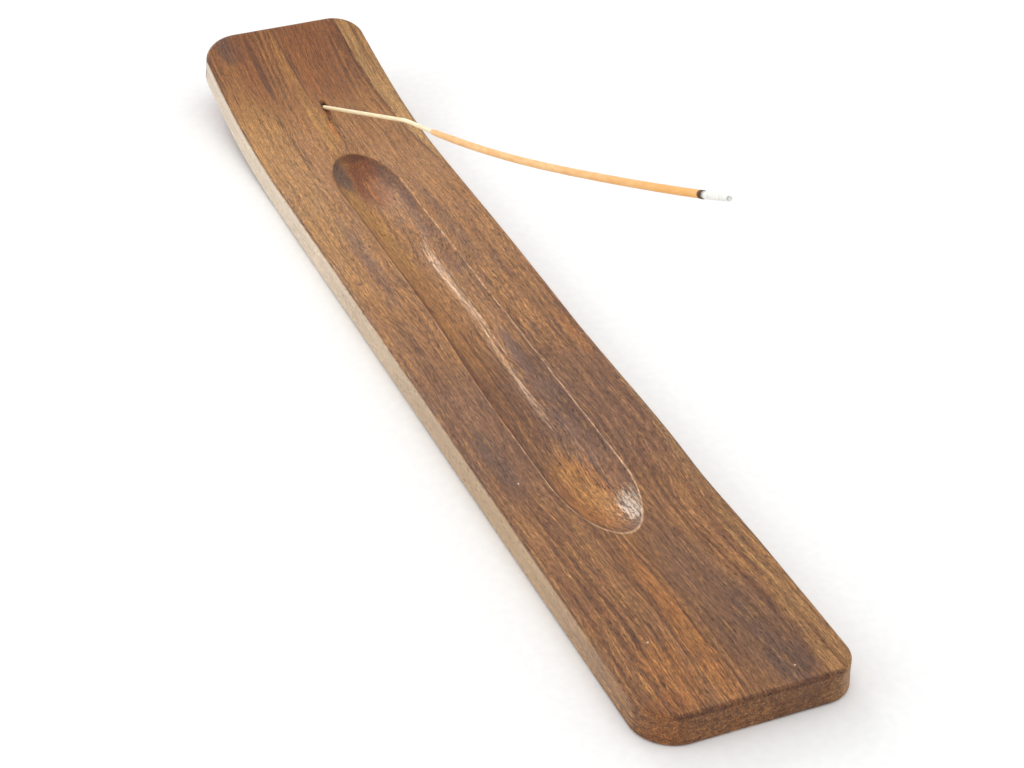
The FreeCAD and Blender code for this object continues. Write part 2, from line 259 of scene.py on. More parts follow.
def rim_across(along, side):
    """Where the trough's rim runs, on the right (side 1) or the left (side -1)."""
    floor = max(trough_floor(along), 0)
    half = math.sqrt(2 * bar_rise * floor + floor ** 2)
    return trough_middle(along) + side * half / (left_steepness(along) if side < 0 else 1)


# Stations run once round the board. Each has its place on the outline, the way out of the board
# there, its place on the trough's rim and its foot on the board's middle line.
SIDE_STATIONS = 190
CORNER_STATIONS = 12
END_STATIONS = 26


def spread(first, last, count):
    return [first + (last - first) * step / count for step in range(count)]


def corner_outline(middle_along, middle_across, radius, first_angle):
    turns = [math.radians(angle) for angle in spread(first_angle, first_angle + 90, CORNER_STATIONS)]
    ways = [Vector((math.cos(turn), math.sin(turn), 0)) for turn in turns]
    return [(Vector((middle_along, middle_across, 0)) + radius * way, way) for way in ways]


def straight_outline(first, last, outwards, count):
    first, last, way = (Vector((*place, 0)) for place in (first, last, outwards))
    return [(first.lerp(last, step / count), way) for step in range(count)]


def sanded_off(point, outwards):
    """How far the sides were sanded in from the sawn plank."""
    if outwards.y < 0:
        return -outwards.y * LEFT_SANDED
    return outwards.y * sum(depth * math.exp(-((point.x - place) / half) ** 2)
                            for place, half, depth in HOLLOWS)


def board_outline():
    raised_right, raised_left, flat_left, flat_right = CORNERS.values()
    right, left, end = half_width, -half_width, BOARD_LENGTH
    outline = straight_outline((end - flat_right, right), (raised_right, right), (0, 1), SIDE_STATIONS)
    outline += corner_outline(raised_right, right - raised_right, raised_right, 90)
    outline += straight_outline((0, right - raised_right), (0, left + raised_left), (-1, 0), END_STATIONS)
    outline += corner_outline(raised_left, left + raised_left, raised_left, 180)
    outline += straight_outline((raised_left, left), (end - flat_left, left), (0, -1), SIDE_STATIONS)
    outline += corner_outline(end - flat_left, left + flat_left, flat_left, 270)
    outline += straight_outline((end, left + flat_left), (end, right - flat_right), (1, 0), END_STATIONS)
    outline += corner_outline(end - flat_right, right - flat_right, flat_right, 0)
    return [(point - outwards * sanded_off(point, outwards), outwards) for point, outwards in outline]


def trough_outline():
    """Every station's place on the rim and on the middle line, in the order of the board's outline."""
    rim = []
    halves = ((floor_end, floor_start, RAISED_DISH, 1), (floor_start, floor_end, FLAT_DISH, -1))
    for start, middle, dish, side in halves:
        for along in spread(start, middle, SIDE_STATIONS):
            rim.append((Vector((along, rim_across(along, side), 0)), Vector((along, TROUGH_SIDE, 0))))
        for turn in spread(0, math.pi, END_STATIONS + 2 * CORNER_STATIONS):
            along = middle - side * dish * math.sin(turn)
            across = rim_across(along, side * math.copysign(1, math.cos(turn)))
            if turn == math.pi / 2:
                across = trough_middle(along)
            rim.append((Vector((along, across, 0)), Vector((middle, TROUGH_SIDE, 0))))
    return rim


outline = board_outline()
rim = trough_outline()


# Sanding leaves the faces a little uneven: how deep, and how long and wide the waves are.
TOP_WAVES = 0.06 * MM
SIDE_WAVES = 0.07 * MM
WAVE_LENGTH = 20 * MM
WAVE_WIDTH = 9 * MM


def waver(along, across, seed):
    """Smooth chance from 0 to 1 over the plank, in waves longer than they are wide."""
    return 0.5 + 0.5 * noise.noise(Vector((along / WAVE_LENGTH, across / WAVE_WIDTH, seed)))


def top_height(place):
    return BOARD_THICK - trough_depth(place.x, place.y) - TOP_WAVES * waver(place.x, place.y, 3.7)


def at_height(place, height):
    return Vector((place.x, place.y, height))


def edge_radius(place, seed):
    """The sanded round of an edge, which wanders by a third along the board."""
    return EDGE_ROUND * (1 + 0.35 * waver(place.x * 1.5, place.y * 1.5, seed))


def inside_trough(share):
    """Rings from the trough's rim (share 0) to its middle line (share 1)."""
    def ring(n):
        place = rim[n][0].lerp(rim[n][1], share)
        return at_height(place, top_height(place))
    return ring


def across_top(share):
    """Rings from the trough's rim (share 0) to where the upper edge's round starts (share 1)."""
    def ring(n):
        point, outwards = outline[n]
        place = rim[n][0].lerp(point - outwards * edge_radius(point, 1), share)
        return at_height(place, top_height(place))
    return ring


def over_upper_edge(turn):
    def ring(n):
        point, outwards = outline[n]
        radius = edge_radius(point, 1)
        place = point - outwards * radius * (1 - math.sin(math.radians(turn)))
        top = top_height(point - outwards * radius)
        return at_height(place, top - radius * (1 - math.cos(math.radians(turn))))
    return ring


def down_side(share):
    def ring(n):
        point, outwards = outline[n]
        upper, lower = edge_radius(point, 1), edge_radius(point, 9)
        top = top_height(point - outwards * upper) - upper
        hollow = SIDE_WAVES * waver(point.x + point.y, share * 3 * MM, 5.1) * math.sin(math.pi * share)
        return at_height(point - outwards * hollow, top + (lower - top) * share)
    return ring


def under_lower_edge(turn):
    def ring(n):
        point, outwards = outline[n]
        radius = edge_radius(point, 9)
        place = point - outwards * radius * (1 - math.cos(math.radians(turn)))
        return at_height(place, radius * (1 - math.sin(math.radians(turn))))
    return ring


def across_bottom(share):
    def ring(n):
        point, outwards = outline[n]
        return (point - outwards * edge_radius(point, 9)).lerp(rim[n][1], share)
    return ring


rings = [inside_trough(share) for share in (1, 0.9, 0.8, 0.7, 0.6, 0.5, 0.4)]
rings += [inside_trough(share) for share in (0.3, 0.2, 0.12, 0.06, 0.025, 0.01, 0)]
rings += [across_top(share) for share in (0.008, 0.02, 0.045, 0.09, 0.15, 0.22, 0.3, 0.38, 0.46)]
rings += [across_top(share) for share in (0.54, 0.62, 0.7, 0.78, 0.85, 0.91, 0.96, 0.99, 1)]
rings += [over_upper_edge(turn) for turn in (18, 36, 54, 72, 90)]
rings += [down_side(share) for share in (0.2, 0.4, 0.6, 0.8)]
rings += [under_lower_edge(turn) for turn in (0, 22.5, 45, 67.5, 90)]
rings += [across_bottom(share) for share in (0.1, 0.22, 0.34, 0.46, 0.58, 0.7, 0.82, 1)]
board = finished(loft(bent, rings, len(outline)), "hand_sanded_board")

# The hole is drilled along the stick's lean, so its mouth is a long oval in the sloping top face.
HOLE_ALONG = 32.5 * MM
HOLE_SIDE = 1.8 * MM
HOLE_WIDTH = 1.6 * MM
HOLE_DEPTH = 8 * MM
STICK_LEAN = math.radians(22.7)
hole_mouth = bent(Vector((HOLE_ALONG, HOLE_SIDE, BOARD_THICK)))
lean_way = Vector((math.cos(STICK_LEAN), 0, math.sin(STICK_LEAN)))


def drill():
    bit = bmesh.new()
    bmesh.ops.create_cone(bit, cap_ends=True, segments=32, radius1=HOLE_WIDTH / 2,
                          radius2=HOLE_WIDTH / 2, depth=2 * HOLE_DEPTH)
    turned = Vector((0, 0, 1)).rotation_difference(lean_way).to_matrix().to_4x4()
    bmesh.ops.transform(bit, matrix=Matrix.Translation(hole_mouth) @ turned, verts=bit.verts)
    return finished(bit, "drill")


def cut_away(piece, cutter):
    """Takes the cutter's shape out of the piece, then removes the cutter."""
    cut = piece.modifiers.new("cut", "BOOLEAN")
    cut.operation = "DIFFERENCE"
    cut.solver = "EXACT"
    cut.object = cutter
    cut_piece = piece.evaluated_get(bpy.context.evaluated_depsgraph_get())
    piece.data = bpy.data.meshes.new_from_object(cut_piece)
    piece.modifiers.clear()
    bpy.data.objects.remove(cutter)


cut_away(board, drill())

# The cut leaves new points, so every point's place on the plank is marked again, along with how far
# inside the trough it lies, in millimetres, for the painted highlight and shade along the rim. The
# underside counts as out.
FAR_OUTSIDE = -9
pattern_place = board.data.attributes["pattern_place"].data
trough_inside = board.data.attributes.new("trough_inside", "FLOAT", "POINT").data
for number, vertex in enumerate(board.data.vertices):
    place = unbent(vertex.co)
    pattern_place[number].vector = place / MM
    inside = below_top(place.x, place.y) / MM
    trough_inside[number].value = inside if place.z > BOARD_THICK / 2 else FAR_OUTSIDE

# The wood's figure. A soft-edged streak is the unit it is drawn with: an oval drawn out along the
# grain, blunter at its ends than at its sides, whose edge is torn by the fibres.
STREAK_SHAPE = ("Along", "Across", "Half Length", "Half Width", "Slope")
STREAK_END_BLUNTNESS = 2.6
STREAK_SIDE_BLUNTNESS = 2.0
STREAK_EDGE = 0.9
streak, given, gives = group(
    "wood_streak",
    {"Place": "Vector", **dict.fromkeys(STREAK_SHAPE, "Float"), "Fibres": "Float"},
    {"Mask": "Float"},
)
apart = streak.node("SeparateXYZ", {0: given["Place"]}).outputs
run = streak.maths("SUBTRACT", apart["X"], given["Along"])
middle = streak.maths("MULTIPLY_ADD", run, given["Slope"], given["Across"])
off = streak.maths("SUBTRACT", apart["Y"], middle)
far = streak.maths("DIVIDE", streak.maths("ABSOLUTE", run), given["Half Length"])
wide = streak.maths("DIVIDE", streak.maths("ABSOLUTE", off), given["Half Width"])
far = streak.maths("POWER", far, STREAK_END_BLUNTNESS)
wide = streak.maths("POWER", wide, STREAK_SIDE_BLUNTNESS)
inside = streak.maths("SUBTRACT", 1.0, streak.maths("ADD", far, wide))
torn = streak.maths("ADD", inside, streak.times(given["Fibres"], STREAK_EDGE))
streak.tree.links.new(streak.ramp(torn, 0.0, STREAK_EDGE), gives["Mask"])


WOOD_DARK = (106, 64, 36)
WOOD_MIDDLE = (134, 88, 53)
WOOD_LIGHT = (170, 122, 72)
DARK_LINE_AND_SHADE = (70, 38, 24)
PORE = (48, 28, 20)
SAPWOOD = (182, 142, 88)
HONEY = (156, 106, 56)
GOLD = (176, 128, 62)
RUST = (116, 60, 22)
AUBURN = (126, 70, 30)
DUSK = (84, 62, 54)
PLUM = (108, 74, 58)
ORANGE = (168, 106, 48)
# Painted light: the left side's pale and tan stand in for light from the left; the pale also serves the
# white specks and the near dish's painted highlight.
PAINTED_LIGHT_AND_SPECK_PALE = (232, 218, 198)
PAINTED_SIDE_LIGHT_DIM = (196, 168, 134)
# Painted shade along the top edge of the flat end.
END_EDGE_SHADE = (70, 36, 24)
# Real wear in a pale chip on the left edge, and painted highlight along the trough's rim and in its streak.
WORN_AND_GLINT_PALE = (214, 172, 134)
# Along and across the plank, half length, half width (mm), slope, amount and colour of each streak.
FIGURE = (
    (74, -2, 80, 40, 0, 0.85, HONEY),
    (60, -15, 60, 7, 0, 0.4, GOLD),
    (2, 0, 34, 34, 0, 0.5, AUBURN),
    (5, -13, 7, 3.5, 0, 0.7, DUSK),
    (12, 5, 22, 6.5, 0, 0.45, AUBURN),
    (12, -11, 18, 3.0, 0, 0.45, AUBURN),
    (14, -8.5, 15, 0.9, 0, 0.7, DARK_LINE_AND_SHADE),
    (16, -5.0, 18, 1.8, 0, 0.3, HONEY),
    (22, -2.0, 22, 1.5, 0.03, 0.3, GOLD),
    (14, -0.9, 15, 0.35, 0.04, 0.6, DARK_LINE_AND_SHADE),
    (22, 9, 20, 1.2, 0, 0.4, WOOD_DARK),
    (43, -1.6, 13, 1.8, 0, 0.6, GOLD),
    (36.2, 1.2, 3.2, 0.3, -0.15, 0.9, PORE),
    (41, 0.4, 4, 0.8, -0.1, 0.6, ORANGE),
    (89, -19.3, 2.2, 0.5, 0, 0.8, WORN_AND_GLINT_PALE),
    (99, -11.5, 20, 2.0, 0, 0.6, PLUM),
    (120, -15, 26, 2.2, -0.05, 0.35, HONEY),
    (90, 10, 22, 1.6, 0.03, 0.5, PLUM),
    (112, 14, 26, 1.2, 0, 0.4, WOOD_DARK),
    (141, 17, 12, 1.2, 0, 0.5, ORANGE),
    (168, 0, 26, 40, 0, 0.5, PLUM),
    (178, -14, 14, 2.4, 0, 0.5, DUSK),
    (232, -3.5, 27, 2.6, 0, 0.5, ORANGE),
    (214, -9, 24, 1.2, 0, 0.3, WOOD_LIGHT),
    (228, 5, 28, 6, 0, 0.45, DUSK),
    (240, 10, 18, 5, 0, 0.5, DUSK),
    (243, -11, 11, 5, 0, 0.4, ORANGE),
    (251, -15, 4, 5, 0, 0.5, AUBURN),
    (248, 9, 6, 5, 0, 0.5, DUSK),
    (184.7, -13, 0.3, 0.22, 0, 1, PAINTED_LIGHT_AND_SPECK_PALE),
    (234.7, -11, 0.3, 0.22, 0, 1, PAINTED_LIGHT_AND_SPECK_PALE),
    (249.3, 9.2, 0.3, 0.22, 0, 1, PAINTED_LIGHT_AND_SPECK_PALE),
)
# The same, in the trough: deeper wood that the cutter opened, with painted shade and painted highlights
# among it.
TROUGH_FIGURE = (
    (63, 1.6, 13, 4.8, 0, 1.0, RUST),
    (69, 2.2, 7, 2.6, 0, 0.45, ORANGE),
    (64, 4.9, 9, 0.9, 0.06, 0.6, DARK_LINE_AND_SHADE),
    # Painted shade on the trough's far-end slope, which faces away from the light.
    (54.5, 1.5, 2.0, 6, 0, 0.5, DARK_LINE_AND_SHADE),
    (60, -4.2, 9, 2.5, 0, 0.8, DUSK),
    # Painted highlight: a pale line on the left rim. The next row is painted shade, a dark line just below
    # that rim.
    (82, -6.9, 10, 0.35, 0, 0.6, GOLD),
    (117, -6.5, 8, 1.0, 0, 0.9, RUST),
    (76, -4.6, 12, 1.6, 0, 0.6, GOLD),
    (70, 6.0, 14, 1.1, 0, 0.8, WOOD_DARK),
    (92, -3, 16, 2.3, 0, 0.5, GOLD),
    (92, 5.6, 24, 1.3, 0, 0.6, WOOD_DARK),
    # Painted light lifting the shade on the left wall, then painted shade in a dark line below the left
    # rim.
    (140, -4.8, 42, 1.7, -0.01, 0.4, HONEY),
    (150, -7.2, 28, 0.7, -0.02, 0.85, RUST),
    (142, 4.8, 10, 1.5, -0.02, 0.75, PLUM),
    (150, -3, 22, 4.2, 0, 0.25, WOOD_DARK),
    (158, 5.4, 24, 1.3, 0, 0.5, DARK_LINE_AND_SHADE),
    (191, -1.5, 15, 6, 0, 0.75, ORANGE),
    (186, -1, 14, 3.5, 0, 0.2, GOLD),
    *((184 + 2 * strand, -4.6 + 1.1 * strand, 11, 0.2, 0.03, 0.5, SAPWOOD) for strand in range(7)),
    # Painted highlights: thin pale lines of light reflected along the trough's right flank.
    (96, 3.6, 9, 0.5, -0.06, 0.35, WORN_AND_GLINT_PALE),
    (106, 2.4, 12, 0.5, 0.02, 0.5, WORN_AND_GLINT_PALE),
    (110, 3.0, 17, 1.5, 0, 0.32, WORN_AND_GLINT_PALE),
    (124, 2.5, 16, 0.4, -0.02, 0.42, WORN_AND_GLINT_PALE),
    (131, 3.2, 14, 0.3, -0.03, 0.4, WORN_AND_GLINT_PALE),
    (146, 1.5, 20, 0.4, -0.04, 0.35, WORN_AND_GLINT_PALE),
    (158, 1.0, 12, 1.0, 0, 0.3, WORN_AND_GLINT_PALE),
    # Painted reflection: a whitish patch and pale lines where the near dish faces the light.
    (198, 4.2, 7.5, 2.6, -0.1, 0.2, PAINTED_LIGHT_AND_SPECK_PALE),
    *((196 + 0.9 * strand, 2.8 + 0.55 * strand, 6.2, 0.26, -0.12, 0.3, PAINTED_LIGHT_AND_SPECK_PALE) for strand in range(6)),
)
# Pools of lacquer on the trough's right flank and in its flat dish, shaped like the streaks.
POOLED_LACQUER = ((112, 3.0, 26, 1.5, 0), (150, 1.6, 26, 1.4, -0.03), (197, 3.6, 7, 2.4, -0.1))
# How far the fibres wander across the plank (mm), slowly and quickly, and the streaks' share of it.
GRAIN_DRIFT = 7.0
GRAIN_RIPPLE = 1.2
STREAK_SWAY = 0.2
PORE_SIZE = (2.0, 0.36, 0.36)
# The sapwood's edge: it curves out as the square of the way along, then runs back straight.
SAPWOOD_RAISED = (0.00115, 14.2)
SAPWOOD_FLAT = (-0.053, 26.8)


def wood():
    made, nodes, finish, place = material("board_wood")
    # The fibres wander across the plank as it grew.
    drift = nodes.noise(place, (60, 16, 9), detail=1)
    ripple = nodes.noise(place, (16, 5, 4), detail=1)
    drifted = nodes.times(nodes.maths("SUBTRACT", drift, 0.5), GRAIN_DRIFT)
    rippled = nodes.times(nodes.maths("SUBTRACT", ripple, 0.5), GRAIN_RIPPLE)
    sway = nodes.maths("ADD", drifted, rippled)
    little_sway = nodes.times(sway, STREAK_SWAY)
    grown = nodes.vectors("ADD", place, nodes.node("CombineXYZ", {"Y": sway}).outputs[0])
    little = nodes.vectors("ADD", place, nodes.node("CombineXYZ", {"Y": little_sway}).outputs[0])

    rings = nodes.noise(grown, (90, 2.6, 1.1), detail=2, roughness=0.55)
    bands = nodes.noise(grown, (30, 0.8, 0.5), detail=2, roughness=0.6)
    fibres = nodes.noise(grown, (3, 0.22, 0.2), detail=3, roughness=0.75)
    hair = nodes.noise(grown, (0.8, 0.12, 0.12), detail=2, roughness=0.75)
    speckle = nodes.noise(grown, (1.7, 0.28, 0.28), detail=1)
    mottle = nodes.noise(grown, (7, 0.9, 0.8), detail=3, roughness=0.7)
    torn = nodes.times(nodes.maths("ADD", nodes.maths("SUBTRACT", fibres, 0.5),
                                   nodes.maths("SUBTRACT", bands, 0.5)), 2.2)

    tone = nodes.mix(nodes.ramp(rings, 0.3, 0.72), colour(*WOOD_DARK), colour(*WOOD_MIDDLE))
    tone = nodes.mix(nodes.ramp(bands, 0.35, 0.75, 0.0, 0.55), tone, colour(*WOOD_LIGHT))

    def mask_of(*shape):
        inputs = {"Place": little, "Fibres": torn, **dict(zip(STREAK_SHAPE, shape))}
        return nodes.node("Group", inputs, node_tree=streak.tree).outputs["Mask"]

    depth = nodes.node("Attribute", attribute_name="trough_inside").outputs["Fac"]
    hollow = nodes.ramp(depth, -0.02, 0.12)
    for *shape, amount, paint in FIGURE:
        tone = nodes.mix(nodes.times(mask_of(*shape), amount), tone, colour(*paint))
    for *shape, amount, paint in TROUGH_FIGURE:
        share = nodes.times(nodes.times(mask_of(*shape), amount), hollow)
        tone = nodes.mix(share, tone, colour(*paint))

    # Cells of one row took up more of the stain than their neighbours.
    apart = nodes.node("SeparateXYZ", {0: place}).outputs
    uneven = nodes.ramp(apart["X"], 30, 110, 0.12, 0.36)
    tone = nodes.mix(nodes.times(nodes.ramp(mottle, 0.52, 0.7), uneven), tone, colour(*GOLD))
    tone = nodes.mix(nodes.times(nodes.ramp(mottle, 0.48, 0.3), uneven), tone, colour(*DUSK))

    # Sapwood along the right edge, behind a dark line; it leaves the board in the middle of its run.
    along_raised = nodes.maths("MULTIPLY_ADD", nodes.times(apart["X"], apart["X"]), *SAPWOOD_RAISED)
    along_flat = nodes.maths("MULTIPLY_ADD", apart["X"], *SAPWOOD_FLAT)
    border = nodes.maths("MINIMUM", along_raised, along_flat)
    past = nodes.maths("ADD", nodes.maths("SUBTRACT", apart["Y"], border),
                       nodes.maths("ADD", nodes.times(torn, 0.8), nodes.times(sway, 0.15)))
    sap = nodes.times(nodes.ramp(past, 0.0, 0.9), nodes.ramp(rings, 0.3, 0.65, 0.2, 0.6))
    sap = nodes.times(sap, nodes.ramp(apart["X"], 60, 180, 1.0, 0.5))
    tone = nodes.mix(sap, tone, colour(*SAPWOOD))
    line = nodes.times(nodes.ramp(past, -0.7, -0.1), nodes.ramp(past, -0.05, 0.4, 1.0, 0.0))
    line = nodes.times(line, nodes.ramp(apart["X"], 45, 80, 0.65, 0.1))
    tone = nodes.mix(line, tone, colour(*DARK_LINE_AND_SHADE))

    # The left side is painted pale, as painted light from the left, and darkens towards its flat end.
    # A thin dark line runs along its upper left edge, and painted shade along the top edge of the flat end.
    side = nodes.times(nodes.ramp(apart["Y"], -19.2, -19.55), nodes.ramp(apart["X"], 257, 200))
    painted_side_light = nodes.mix(nodes.ramp(apart["X"], 50, 190), colour(*PAINTED_LIGHT_AND_SPECK_PALE), colour(*PAINTED_SIDE_LIGHT_DIM))
    tone = nodes.mix(nodes.times(side, 0.85), tone, painted_side_light)
    corner = nodes.times(nodes.ramp(apart["Y"], -18.85, -19.1), nodes.ramp(apart["Y"], -19.45, -19.2))
    tone = nodes.mix(nodes.times(corner, 0.4), tone, colour(*DARK_LINE_AND_SHADE))
    # Painted shade: a dark line where the flat end's top edge rounds over.
    edge_shade = nodes.times(nodes.ramp(apart["X"], 252.9, 253.4), nodes.ramp(apart["Z"], 5.5, 6.0))
    tone = nodes.mix(nodes.times(edge_shade, 0.55), tone, colour(*END_EDGE_SHADE))

    # Both ends are sawn across the grain, which drinks more stain and shows as dots, not lines.
    ends = nodes.maths("MAXIMUM", nodes.ramp(apart["X"], 0.5, 0.25), nodes.ramp(apart["X"], 253.5, 253.75))
    dots = nodes.noise(place, (1, 0.5, 0.4), detail=3, roughness=0.7)
    tone = nodes.mix(nodes.times(ends, nodes.ramp(dots, 0.3, 0.6, 0.45, 0.1)), tone, colour(*DARK_LINE_AND_SHADE))

    # Painted highlight: a pale line along the trough's rim where it rounds over, and painted shade, a dark
    # band on the wall just below it.
    wear_and_glint = nodes.times(nodes.ramp(depth, -0.1, 0.02), nodes.ramp(depth, 0.02, 0.2, 1.0, 0.0))
    rim_shade = nodes.times(nodes.ramp(depth, 0.1, 0.25), nodes.ramp(depth, 0.3, 0.9, 1.0, 0.0))
    broken = nodes.times(nodes.ramp(nodes.noise(place, (5, 30, 30), detail=2), 0.35, 0.6, 0.4, 1.0),
                         nodes.ramp(apart["X"], 60, 74))
    tone = nodes.mix(nodes.times(rim_shade, 0.3), tone, colour(*DARK_LINE_AND_SHADE))
    wear_and_glint = nodes.times(nodes.times(wear_and_glint, broken), nodes.ramp(apart["X"], 150, 195, 0.6, 0.85))
    tone = nodes.mix(wear_and_glint, tone, colour(*WORN_AND_GLINT_PALE))

    # Fine fibres, the open pores and the pale flecks between them.
    grain_cells = nodes.vectors("DIVIDE", grown, PORE_SIZE)
    cells = nodes.node("TexVoronoi", {"Vector": grain_cells, "Scale": 1.0, "Randomness": 1.0})
    chance = nodes.node("SeparateColor", {0: cells.outputs["Color"]}).outputs
    pore = nodes.times(nodes.ramp(cells.outputs["Distance"], 0.36, 0.2), nodes.ramp(chance[0], 0.5, 0.8))
    fleck = nodes.times(nodes.ramp(cells.outputs["Distance"], 0.3, 0.2), nodes.ramp(chance[1], 0.75, 0.9))
    light = nodes.times(nodes.ramp(fibres, 0.25, 0.75, 0.38, 1.66, smooth=False),
                        nodes.ramp(hair, 0.2, 0.8, 0.42, 1.6, smooth=False))
    # Towards the bend the grain is calmer: longer bands and fewer dots.
    banded = nodes.ramp(bands, 0.25, 0.75, nodes.ramp(apart["X"], 20, 110, 0.7, 0.8),
                        nodes.ramp(apart["X"], 20, 110, 1.32, 1.2), smooth=False)
    dotted = nodes.ramp(speckle, 0.3, 0.7, nodes.ramp(apart["X"], 20, 110, 0.88, 0.7),
                        nodes.ramp(apart["X"], 20, 110, 1.12, 1.3), smooth=False)
    light = nodes.times(light, nodes.times(banded, dotted))
    # The painted light on the left side also washes out its grain.
    light = nodes.mix(nodes.times(side, 0.8), light, (1, 1, 1, 1))
    open_pore = nodes.times(pore, nodes.ramp(apart["X"], 30, 110, -0.18, -0.5))
    light = nodes.times(light, nodes.maths("ADD", open_pore, 1.0))
    light = nodes.times(light, nodes.maths("MULTIPLY_ADD", fleck, 0.45, 1.0))
    light = nodes.node("CombineXYZ", dict.fromkeys("XYZ", light)).outputs[0]
    tone = nodes.vectors("MULTIPLY", tone, light)
    nodes.tree.links.new(tone, finish["Base Color"])

    # Wiped lacquer: it fills the grain unevenly, and has pooled here and there in the trough.
    flank, lower_flank, dish = [mask_of(*pool) for pool in POOLED_LACQUER]
    wet = nodes.maths("MAXIMUM", nodes.maths("MAXIMUM", flank, lower_flank), dish)
    gloss = nodes.noise(place, (8, 3, 3), detail=2)
    rough = nodes.maths("ADD", nodes.ramp(gloss, 0.3, 0.7, 0.42, 0.52),
                        nodes.ramp(fibres, 0.3, 0.7, 0.06, -0.05))
    rough = nodes.maths("ADD", rough, nodes.maths("MULTIPLY_ADD", wet, -0.24, nodes.times(pore, 0.15)))
    nodes.tree.links.new(rough, finish["Roughness"])
    finish["Specular IOR Level"].default_value = 0.36
    torn_up = nodes.noise(grown, (7, 0.35, 0.35), detail=1)
    relief = nodes.maths("MULTIPLY_ADD", fibres, 0.6, nodes.times(hair, 0.3))
    relief = nodes.maths("SUBTRACT", relief, nodes.times(pore, 0.6))
    fine = nodes.bump(relief, 0.00006, 0.8)
    ridged = nodes.bump(nodes.times(torn_up, nodes.times(wet, 0.5)), 0.00022, 0.9, fine)
    nodes.tree.links.new(ridged, finish["Normal"])
    return made


board.data.materials.clear()
board.data.materials.append(wood())
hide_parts("board")
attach(board, "board")

# ---------------------------------------------------------------------------------------------
# The stick: a split bamboo splint, warped by drying, rolled in scented paste but for its foot. It
# has burned for a while: a ring of char, then a fragile stem of ash that keeps the stick's shape.
# ---------------------------------------------------------------------------------------------
FOOT_GAP = 0.3 * MM
SPLINT_WIDTH = 0.9 * MM
STRAIGHT_RUN = 56 * MM + HOLE_DEPTH - FOOT_GAP
# Radius and turn of each arc after the straight foot; the first turns down, the rest up.
BENDS = ((70 * MM, -5.4), (920 * MM, 0.79), (920 * MM, 0.8), (920 * MM, 3.22), (2200 * MM, 1.64))
PASTE_WIDTH = 1.42 * MM
PASTE_START_WIDTH = 1.1 * MM
PASTE_SWELL = 12.7 * MM
PASTE_LIP = 0.5 * MM
CHAR_WIDTH = 1.48 * MM
CHAR_LENGTH = 1.2 * MM
CHAR_SHOWN = 0.9
ASH_WIDTH = 1.35 * MM
ASH_END_WIDTH = 0.95 * MM
ASH_LENGTH = 9.2 * MM

bare_end = STRAIGHT_RUN + sum(radius * math.radians(abs(turn)) for radius, turn in BENDS[:2])
paste_end = STRAIGHT_RUN + sum(radius * math.radians(abs(turn)) for radius, turn in BENDS)
foot = hole_mouth - lean_way * (HOLE_DEPTH - FOOT_GAP)


def along_stick(distance):
    """The stick's middle line and its heading above the level, that far from its foot."""
    point, heading, left = foot.copy(), STICK_LEAN, distance
    runs = [(None, 0, STRAIGHT_RUN)]
    runs += [(radius, math.copysign(1, turn), radius * math.radians(abs(turn))) for radius, turn in BENDS]
    for radius, side, length in runs:
        step = min(left, length)
        turn = step / radius * side if radius else 0
        middle = heading + turn / 2
        chord = step if not radius else 2 * radius * math.sin(abs(turn) / 2)
        point += chord * Vector((math.cos(middle), 0, math.sin(middle)))
        heading += turn
        left -= step
    return point + left * Vector((math.cos(heading), 0, math.sin(heading))), heading


def on_stick(straight_place):
    """Where a point of a straight stick (along, to the side, up) lies on the warped one."""
    point, heading = along_stick(straight_place.x)
    return point + Vector((-math.sin(heading) * straight_place.z, straight_place.y,
                           math.cos(heading) * straight_place.z))


AROUND = 28


def rod(name, steps, radius_at):
    """A closed rod on the stick's line; radius_at gives its radius at a distance and an angle round it."""
    def ring(distance, share):
        def place(n):
            angle = 2 * math.pi * n / AROUND
            radius = share * radius_at(distance, angle)
            return Vector((distance, radius * math.cos(angle), radius * math.sin(angle)))
        return place
    rings = [ring(steps[0], 0), ring(steps[0], 0.6)]
    rings += [ring(step, 1) for step in steps]
    rings += [ring(steps[-1], 0.6), ring(steps[-1], 0)]
    piece = finished(loft(on_stick, rings, AROUND), name)
    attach(piece, "stick")
    return piece


def ridges(distance, angle, length, lobes, seed):
    """Chance from -1 to 1 over a rod's skin, drawn out along it."""
    return noise.noise(Vector((distance / length, lobes * math.cos(angle), lobes * math.sin(angle) + seed)))


def splint_radius(distance, angle):
    """Bamboo splits along its fibres, which leaves long ridges and short fine ones."""
    long_ridges = 0.05 * abs(ridges(distance, angle, 9 * MM, 2.2, 1))
    fine_ridges = 0.03 * abs(ridges(distance, angle, 2 * MM, 4, 2))
    return SPLINT_WIDTH / 2 * (1 - long_ridges - fine_ridges)


splint = rod("bamboo_splint", spread(0, paste_end, 400), splint_radius)
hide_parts("bamboo_core")


STRAW = (238, 214, 164)
CREAM = (253, 244, 212)
DRY_STRAW = (240, 214, 164)


def bamboo():
    made, nodes, finish, place = material("bamboo")
    strands = nodes.noise(place, (6, 0.12, 0.12), detail=2, roughness=0.6)
    length = nodes.noise(place, (14, 1, 1), detail=1)
    tone = nodes.mix(nodes.ramp(strands, 0.35, 0.65), colour(*STRAW), colour(*CREAM))
    tone = nodes.mix(nodes.ramp(length, 0.5, 0.75, 0.0, 0.35), tone, colour(*DRY_STRAW))
    nodes.tree.links.new(tone, finish["Base Color"])
    nodes.tree.links.new(nodes.ramp(strands, 0.3, 0.7, 0.62, 0.5), finish["Roughness"])
    nodes.tree.links.new(nodes.bump(strands, 0.00004, 0.8), finish["Normal"])
    return made


splint.data.materials.append(bamboo())


